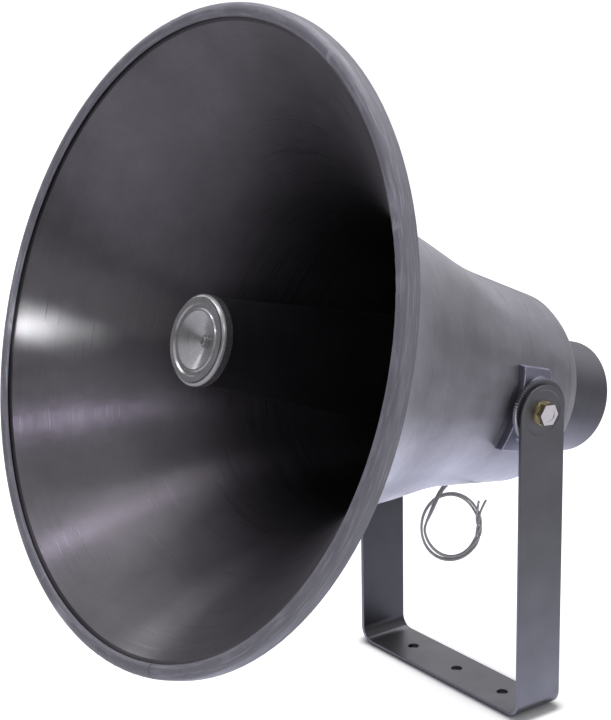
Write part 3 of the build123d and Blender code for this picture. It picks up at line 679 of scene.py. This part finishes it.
# %% [markdown]
# ### Grey paint on spun metal
#
# The bell is spun on a lathe and then sprayed a satin metallic grey. The tool leaves fine rings
# that the paint doesn't hide, and they draw the highlights out into streaks from the centre. The
# Principled shader does that with Anisotropic, once it knows which way the rings run: at each
# point that is square to the horn's axis and to the arm from the axis, which is a cross product.
# The shader wants it as a direction in the world, so a Vector Transform node turns it.
#
# The horn's inside is painted darker than its outside, and darkest deep inside, which is painted
# shade. A surface belongs to the inside when its normal points at the axis.

# %% Which way the rings run, and what is inside
towards_axis = -0.002


def ring_direction(tree):
    """The direction of the spinning rings at each point, in the world."""
    arm = vector_math(tree, "SUBTRACT", object_place(tree), horn_centre)
    node = tree.nodes.new("ShaderNodeVectorTransform")
    node.vector_type = "VECTOR"
    node.convert_from = "OBJECT"
    node.convert_to = "WORLD"
    tree.links.new(vector_math(tree, "CROSS_PRODUCT", AHEAD, arm), node.inputs[0])
    return node.outputs[0]


def facing_axis(tree, place):
    """1 on a surface that faces the horn's axis, as the bell's inside does, and 0 elsewhere."""
    normal = in_horn_directions(tree, new_node(tree, "TexCoord").outputs["Normal"])
    arm = vector_math(tree, "MULTIPLY", place, (1.0, 1.0, 0.0))
    outwards = vector_math(tree, "DOT_PRODUCT", arm, normal)
    return arithmetic(tree, "LESS_THAN", outwards, towards_axis)


def behind(tree, place, first, last):
    """0 ahead of one distance along the axis, and 1 behind the other."""
    return map_range(tree, part_of(tree, place, "Z"), (first, last), smooth=True)


print("the horn's axis points to", [round(c, 3) for c in AHEAD])

# %% [markdown]
# The paint has clouds in its colour, fine rings in its colour, gloss and height, and a grain, wider
# rings and soft dents in its height alone. The rings and the dents take their heights from one
# depth. A quarter turn of Anisotropic Rotation draws the shine out across the rings, as fine
# scratches do. The bell's outside is also smudged by hands, and paler by the mouth, which is
# painted light.

# %% The paint
spun_metallic = 0.85
quarter_turn = 0.25
fine_rings_to_the_metre = 1100.0
wide_rings_to_the_metre = 150.0
mouth_along, deep_along, neck_along = 0.27, 0.09, 0.10
painted_light_by_mouth = 1.8
smudge_darkness = 0.5


def smudges_and_painted_light_outside(tree, place, outside, smudged):
    """The outside's colour, paler by the mouth from painted light, and with darker smudges up to
    that share.
    """
    patches = noise(tree, place, scale=16.0, detail=6.0, rough=0.65)
    smears = ring_noise(tree, place, across_rings=26.0, along_rings=3.0, detail=6.0)
    mean = arithmetic(tree, "MULTIPLY", arithmetic(tree, "ADD", patches, smears), 0.5)
    # Painted light: the outside is paler by the mouth.
    mouth_painted_light = times(outside, painted_light_by_mouth)
    clean = blend_colours(tree, behind(tree, place, mouth_along, neck_along), mouth_painted_light, outside)
    smudge = times(outside, smudge_darkness)
    return blend_colours(tree, spread(tree, mean, 0.0, smudged), clean, smudge)


def spun_paint(name, outside, inside, deep_shade, roughness, drawn_out, ring_depth, smudged=0.0):
    """Satin metallic paint over the rings that a spinning tool leaves, with painted shade inside.
    """
    finish, tree, shader = start_finish(name, outside, spun_metallic, roughness)
    shader.inputs["Anisotropic"].default_value = drawn_out
    shader.inputs["Anisotropic Rotation"].default_value = quarter_turn
    tree.links.new(ring_direction(tree), shader.inputs["Tangent"])
    place = horn_place(tree)
    fine_rings = ring_noise(tree, place, fine_rings_to_the_metre, along_rings=1.6, detail=2.0)
    wide_rings = ring_noise(tree, place, wide_rings_to_the_metre, along_rings=0.8, detail=3.0)
    # Painted shade: the inside is darker than the outside, and darkest deep inside.
    inner = blend_colours(tree, behind(tree, place, mouth_along, deep_along), inside, deep_shade)
    outer = smudges_and_painted_light_outside(tree, place, outside, smudged) if smudged else outside
    colour = blend_colours(tree, facing_axis(tree, place), outer, inner)
    clouds = noise(tree, place, scale=11.0, detail=6.0, rough=0.65)
    cloud_level = spread(tree, clouds, low=0.78, high=1.20)
    ring_level = spread(tree, fine_rings, low=0.94, high=1.06)
    level = arithmetic(tree, "MULTIPLY", cloud_level, ring_level)
    tone = new_node(tree, "CombineXYZ", X=level, Y=level, Z=level).outputs[0]
    tree.links.new(vector_math(tree, "MULTIPLY", colour, tone), shader.inputs["Base Color"])
    uneven_gloss(tree, shader, fine_rings, roughness - 0.04, roughness + 0.04)
    grain = noise(tree, place, scale=1500.0, detail=2.0)
    dents = noise(tree, place, scale=22.0, detail=3.0)
    bump(tree, shader, grain, strength=0.10, distance=0.00004)
    bump(tree, shader, fine_rings, strength=0.35, distance=ring_depth)
    bump(tree, shader, wide_rings, strength=0.35, distance=ring_depth * 3)
    bump(tree, shader, dents, strength=0.6, distance=ring_depth * 20)
    return finish


print("rings every", round(1000 / fine_rings_to_the_metre, 1), "mm in the paint")

# %% [markdown]
# The bell shows its rings the most, and it is the only one that is smudged. The reflector in its
# middle is painted nearly black as a painted shade, since it stands in its own shade, and the cap
# on the reflector's end is pale and smooth.

# %% Spun and painted pieces
bell_paint = spun_paint(
    "bell_paint",
    outside=(0.280, 0.274, 0.303),
    inside=(0.135, 0.125, 0.138),
    deep_shade=(0.030, 0.027, 0.030),
    roughness=0.31,
    drawn_out=0.95,
    ring_depth=0.00002,
    smudged=0.5,
)
give(bell_paint, "bell")

# The reflector's near-black paint is painted shade.
painted_shade_black = (0.055, 0.052, 0.058)
reflector_paint = spun_paint(
    "reflector_paint",
    outside=painted_shade_black,
    inside=painted_shade_black,
    deep_shade=(0.03, 0.03, 0.03),
    roughness=0.34,
    drawn_out=0.5,
    ring_depth=0.00002,
)
give(reflector_paint, "reflector")

pale_grey = (0.380, 0.372, 0.378)
cap_paint = spun_paint(
    "cap_paint",
    outside=pale_grey,
    inside=pale_grey,
    deep_shade=pale_grey,
    roughness=0.26,
    drawn_out=0.3,
    ring_depth=0.00001,
)
give(cap_paint, "reflector_cap", "reflector_screw")

dark_grey = (0.110, 0.108, 0.122)
cover_paint = spun_paint(
    "cover_paint",
    outside=dark_grey,
    inside=dark_grey,
    deep_shade=(0.10, 0.10, 0.11),
    roughness=0.40,
    drawn_out=0.3,
    ring_depth=0.00001,
)
give(cover_paint, "rear_cover")
print("spun and painted: bell, reflector, cap and cover")

# %% [markdown]
# ### Plain paint, trim and castings
#
# The bracket, the lugs and the toothed discs are sprayed too, but they aren't spun, so their gloss
# has no direction. Paint is thin along an edge and rubs off there first, and the paler colour there
# is also a painted highlight along the edge. The Bevel node gives the normal that a rounded edge
# would have: where it differs from the real one, an edge is near. Noise breaks that line up, so
# that the wear looks handled and not drawn.

# %% Worn edges
no_bend, full_bend = 0.99, 0.85


def worn_and_highlit_edges(tree, shader, place, round_over):
    """Rounds the edges that light sees. Returns how near an edge a point is, broken by noise."""
    rounded = new_node(tree, "Bevel", Radius=round_over)
    rounded.samples = 6
    tree.links.new(rounded.outputs["Normal"], shader.inputs["Normal"])
    flat = tree.nodes.new("ShaderNodeNewGeometry")
    same = vector_math(tree, "DOT_PRODUCT", rounded.outputs["Normal"], flat.outputs["Normal"])
    near_edge = map_range(tree, same, (no_bend, full_bend))
    patchy = spread(tree, noise(tree, place, scale=140.0), low=0.3, high=1.0)
    return arithmetic(tree, "MULTIPLY", near_edge, patchy)


print("worn edges ready")

# %% [markdown]
# Three places get a colour of their own. The insides of the bracket's legs are darker, which is
# painted shade. The discs' teeth are bright along the lower edge, partly rubbed bare and partly a
# painted highlight on each tooth. The trim has fine light lines round it: painted highlights on the
# lines from the die that it was drawn through. The first two are placed by sums on the Object
# coordinates. A leg's inside is a face that looks back at the middle, X = 0. The horn's centre is a
# little above the discs' own, so the points of a disc that are farthest from it are its lower edge.

# %% Where the shades go
towards_middle = -0.05


def from_centre(tree, place):
    """The square of the distance from the horn's centre, as seen from the side."""
    arm = vector_math(tree, "SUBTRACT", place, horn_centre)
    across = vector_math(tree, "MULTIPLY", arm, (0.0, 1.0, 1.0))
    return vector_math(tree, "DOT_PRODUCT", across, across)


def facing_middle(tree, place):
    """1 on a side face that faces X = 0, as the insides of the bracket's legs do."""
    normal = new_node(tree, "TexCoord").outputs["Normal"]
    to_side = vector_math(tree, "MULTIPLY", place, (1.0, 0.0, 0.0))
    outwards = vector_math(tree, "DOT_PRODUCT", to_side, normal)
    return arithmetic(tree, "LESS_THAN", outwards, towards_middle)


print("shades ready")

# %% [markdown]
# The paint itself is cloudy, with a few rubbed marks that run up and down, and fine orange peel.
# Each of the three shades is left out unless it is asked for.

# %% Sprayed paint
bright_steel = (0.62, 0.62, 0.65)
mark_levels = (0.66, 0.78)
mark_stretch = (1.0, 1.0, 0.15)
line_levels = (0.50, 0.74)


def sprayed_paint(
    name,
    colour,
    roughness,
    metallic=0.8,
    peel=0.00006,
    worn=2.0,
    round_over=0.0010,
    bright_beyond=0.0,
    painted_shade_share=1.0,
    painted_highlight_lines=0.0,
):
    """Satin paint, uneven from the spraying, rubbed in places, and paler along its edges from wear
    and a painted highlight.
    """
    finish, tree, shader = start_finish(name, colour, metallic, roughness)
    place = object_place(tree)
    # The paler edges are partly worn paint and partly a painted highlight.
    edge = worn_and_highlit_edges(tree, shader, place, round_over)
    wear_and_highlight_colour = times(colour, worn)
    clouds = spread(tree, noise(tree, place, scale=25.0, detail=6.0), low=0.0, high=1.0)
    cloudy = blend_colours(tree, clouds, times(colour, 0.88), times(colour, 1.10))
    tall = vector_math(tree, "MULTIPLY", place, mark_stretch)
    marks = map_range(tree, noise(tree, tall, scale=70.0, detail=3.0), mark_levels)
    wear_and_painted_light = blend_colours(tree, marks, cloudy, wear_and_highlight_colour)
    # Painted shade: the insides of the bracket's legs are darker by this share.
    if painted_shade_share < 1.0:
        inner = times(colour, painted_shade_share)
        wear_and_painted_light = blend_colours(tree, facing_middle(tree, place), wear_and_painted_light, inner)
    # Painted highlights: fine light lines round the trim.
    if painted_highlight_lines:
        rings = horn_place(tree)
        lines = ring_noise(tree, rings, fine_rings_to_the_metre, along_rings=9.0, detail=5.0)
        highlight_line_share = arithmetic(tree, "MULTIPLY", map_range(tree, lines, line_levels), painted_highlight_lines)
        wear_and_painted_light = blend_colours(tree, highlight_line_share, wear_and_painted_light, wear_and_highlight_colour)
    painted = blend_colours(tree, edge, wear_and_painted_light, wear_and_highlight_colour)
    # The teeth beyond this distance are bright steel, partly rubbed bare and partly a painted
    # highlight.
    if bright_beyond:
        teeth = arithmetic(tree, "GREATER_THAN", from_centre(tree, place), bright_beyond**2)
        painted = blend_colours(tree, teeth, painted, bright_steel)
    tree.links.new(painted, shader.inputs["Base Color"])
    uneven_gloss(tree, shader, noise(tree, place, scale=60.0), roughness - 0.04, roughness + 0.05)
    bump(tree, shader, noise(tree, place, scale=700.0, detail=3.0), strength=0.25, distance=peel)
    return finish


print("sprayed paint ready")

# %% [markdown]
# The lugs are rough castings, so their paint is the lumpiest, with the widest pale edges, partly
# rubbed and partly painted highlight. The trim is a soft strip, and takes hardly any of the metal's
# shine. The castings that hide inside the horn aren't painted, and only borrow the unevenness.

# %% Painted pieces
lower_teeth_beyond = 0.0262

# The bracket's leg insides get a painted shade.
bracket_paint = sprayed_paint(
    "bracket_paint",
    colour=(0.118, 0.117, 0.126),
    roughness=0.36,
    worn=1.15,
    round_over=0.0012,
    painted_shade_share=0.33,
)
give(bracket_paint, "u_bracket")
lug_paint = sprayed_paint(
    "lug_paint",
    colour=(0.200, 0.200, 0.255),
    roughness=0.38,
    peel=0.00015,
    worn=3.2,
    round_over=0.0022,
)
give(lug_paint, "right_lug", "left_lug")
disc_paint = sprayed_paint(
    "disc_paint",
    colour=(0.100, 0.100, 0.110),
    roughness=0.36,
    bright_beyond=lower_teeth_beyond,
)
give(disc_paint, "right_friction_disc", "left_friction_disc")
# The trim's light lines are painted highlights.
trim_finish = sprayed_paint(
    "trim",
    colour=(0.175, 0.172, 0.200),
    roughness=0.42,
    metallic=0.1,
    worn=2.2,
    painted_highlight_lines=0.65,
)
give(trim_finish, "edge_trim")
bare_casting = sprayed_paint(
    "bare_casting",
    colour=(0.50, 0.50, 0.51),
    roughness=0.50,
    metallic=0.95,
    peel=0.0002,
    worn=1.1,
)
give(bare_casting, "tone_arm", "tone_arm_spider", "throat_plate")
print("painted: bracket, lugs, discs, trim and castings")

# %% [markdown]
# ### Fasteners, plates and the rest
#
# The rest is small, and most of it is hidden inside the cover. Zinc plating, steel, brass and
# copper are one metal finish with different colours, and rubber, plastic, ferrite and board are one
# moulded finish. Both have a mottled colour, uneven gloss and fine bumps. The pivot bolts are
# yellow, with paler heads, and the heads are the part that is farthest out in X.

# %% Metal
metal_metallic = 0.95
head_starts = 0.1093
pale_zinc = (0.66, 0.62, 0.64)


def turned_metal(name, colour, roughness, pale_beyond=0.0):
    """Plain or plated metal with faint machining marks. Plating can be paler far out in X."""
    finish, tree, shader = start_finish(name, colour, metal_metallic, roughness)
    place = object_place(tree)
    mottle = spread(tree, noise(tree, place, scale=180.0, detail=5.0), low=0.0, high=1.0)
    marked = blend_colours(tree, mottle, times(colour, 0.80), colour)
    if pale_beyond:
        far_out = arithmetic(tree, "ABSOLUTE", part_of(tree, place, "X"))
        is_head = arithmetic(tree, "GREATER_THAN", far_out, pale_beyond)
        marked = blend_colours(tree, is_head, marked, pale_zinc)
    tree.links.new(marked, shader.inputs["Base Color"])
    marks = noise(tree, place, scale=400.0, detail=3.0)
    uneven_gloss(tree, shader, marks, roughness - 0.06, roughness + 0.08)
    grain = noise(tree, place, scale=2500.0, detail=2.0)
    bump(tree, shader, grain, strength=0.2, distance=0.00003)
    return finish


bolt_plating = turned_metal(
    "bolt_plating", (0.50, 0.44, 0.29), roughness=0.22, pale_beyond=head_starts
)
give(bolt_plating, "pivot_bolts")
yellow_zinc = turned_metal("yellow_zinc", (0.62, 0.52, 0.33), roughness=0.24)
give(yellow_zinc, "lug_screws", "cover_screws", "throat_screws", "unit_screws")
plain_steel = turned_metal("plain_steel", (0.42, 0.42, 0.43), roughness=0.35)
give(plain_steel, "magnet_top_plate", "back_plate")
give(turned_metal("tag_brass", (0.70, 0.55, 0.30), roughness=0.30), "terminal_tags")
give(turned_metal("coil_copper", (0.60, 0.28, 0.14), roughness=0.35), "voice_coil")
print("metal: bolts, screws, plates, tags and coil")

# %% [markdown]
# The leads' jacket is one of the moulded finishes. The two curves that were made above take it, and
# so do the hidden leads inside the cover.

# %% Plastic and rubber
def moulded(name, colour, roughness):
    """Moulded plastic or rubber."""
    finish, tree, shader = start_finish(name, colour, 0.0, roughness)
    place = object_place(tree)
    mottle = spread(tree, noise(tree, place, scale=120.0), low=0.0, high=1.0)
    mottled = blend_colours(tree, mottle, times(colour, 0.85), colour)
    tree.links.new(mottled, shader.inputs["Base Color"])
    scuffs = noise(tree, place, scale=300.0, detail=3.0)
    uneven_gloss(tree, shader, scuffs, roughness - 0.05, roughness + 0.05)
    grain = noise(tree, place, scale=1800.0, detail=2.0)
    bump(tree, shader, grain, strength=0.2, distance=0.00004)
    return finish


black_rubber = moulded("black_rubber", (0.030, 0.030, 0.032), roughness=0.70)
give(black_rubber, "cover_gasket", "cable_grommet")
black_plastic = moulded("black_plastic", (0.035, 0.035, 0.037), roughness=0.50)
give(black_plastic, "centring_fins", "phase_plug", "clamp_ring", "cover_spacers")
give(moulded("ferrite", (0.055, 0.055, 0.058), roughness=0.60), "magnet")
laminate = moulded("laminate", (0.30, 0.17, 0.07), roughness=0.45)
give(laminate, "terminal_board", "diaphragm", "surround", "coil_former")
lead_jacket = moulded("lead_jacket", (0.540, 0.540, 0.550), roughness=0.36)
give(lead_jacket, "inner_leads")
for lead in (near_lead, far_lead):
    lead.data.materials.append(lead_jacket)
print("moulded: gasket, grommet, plastic, ferrite, board and leads")

# %% [markdown]
# The last cell brings the view layer up to date, and closes the scene.

# %% Finish
bpy.context.view_layer.update()
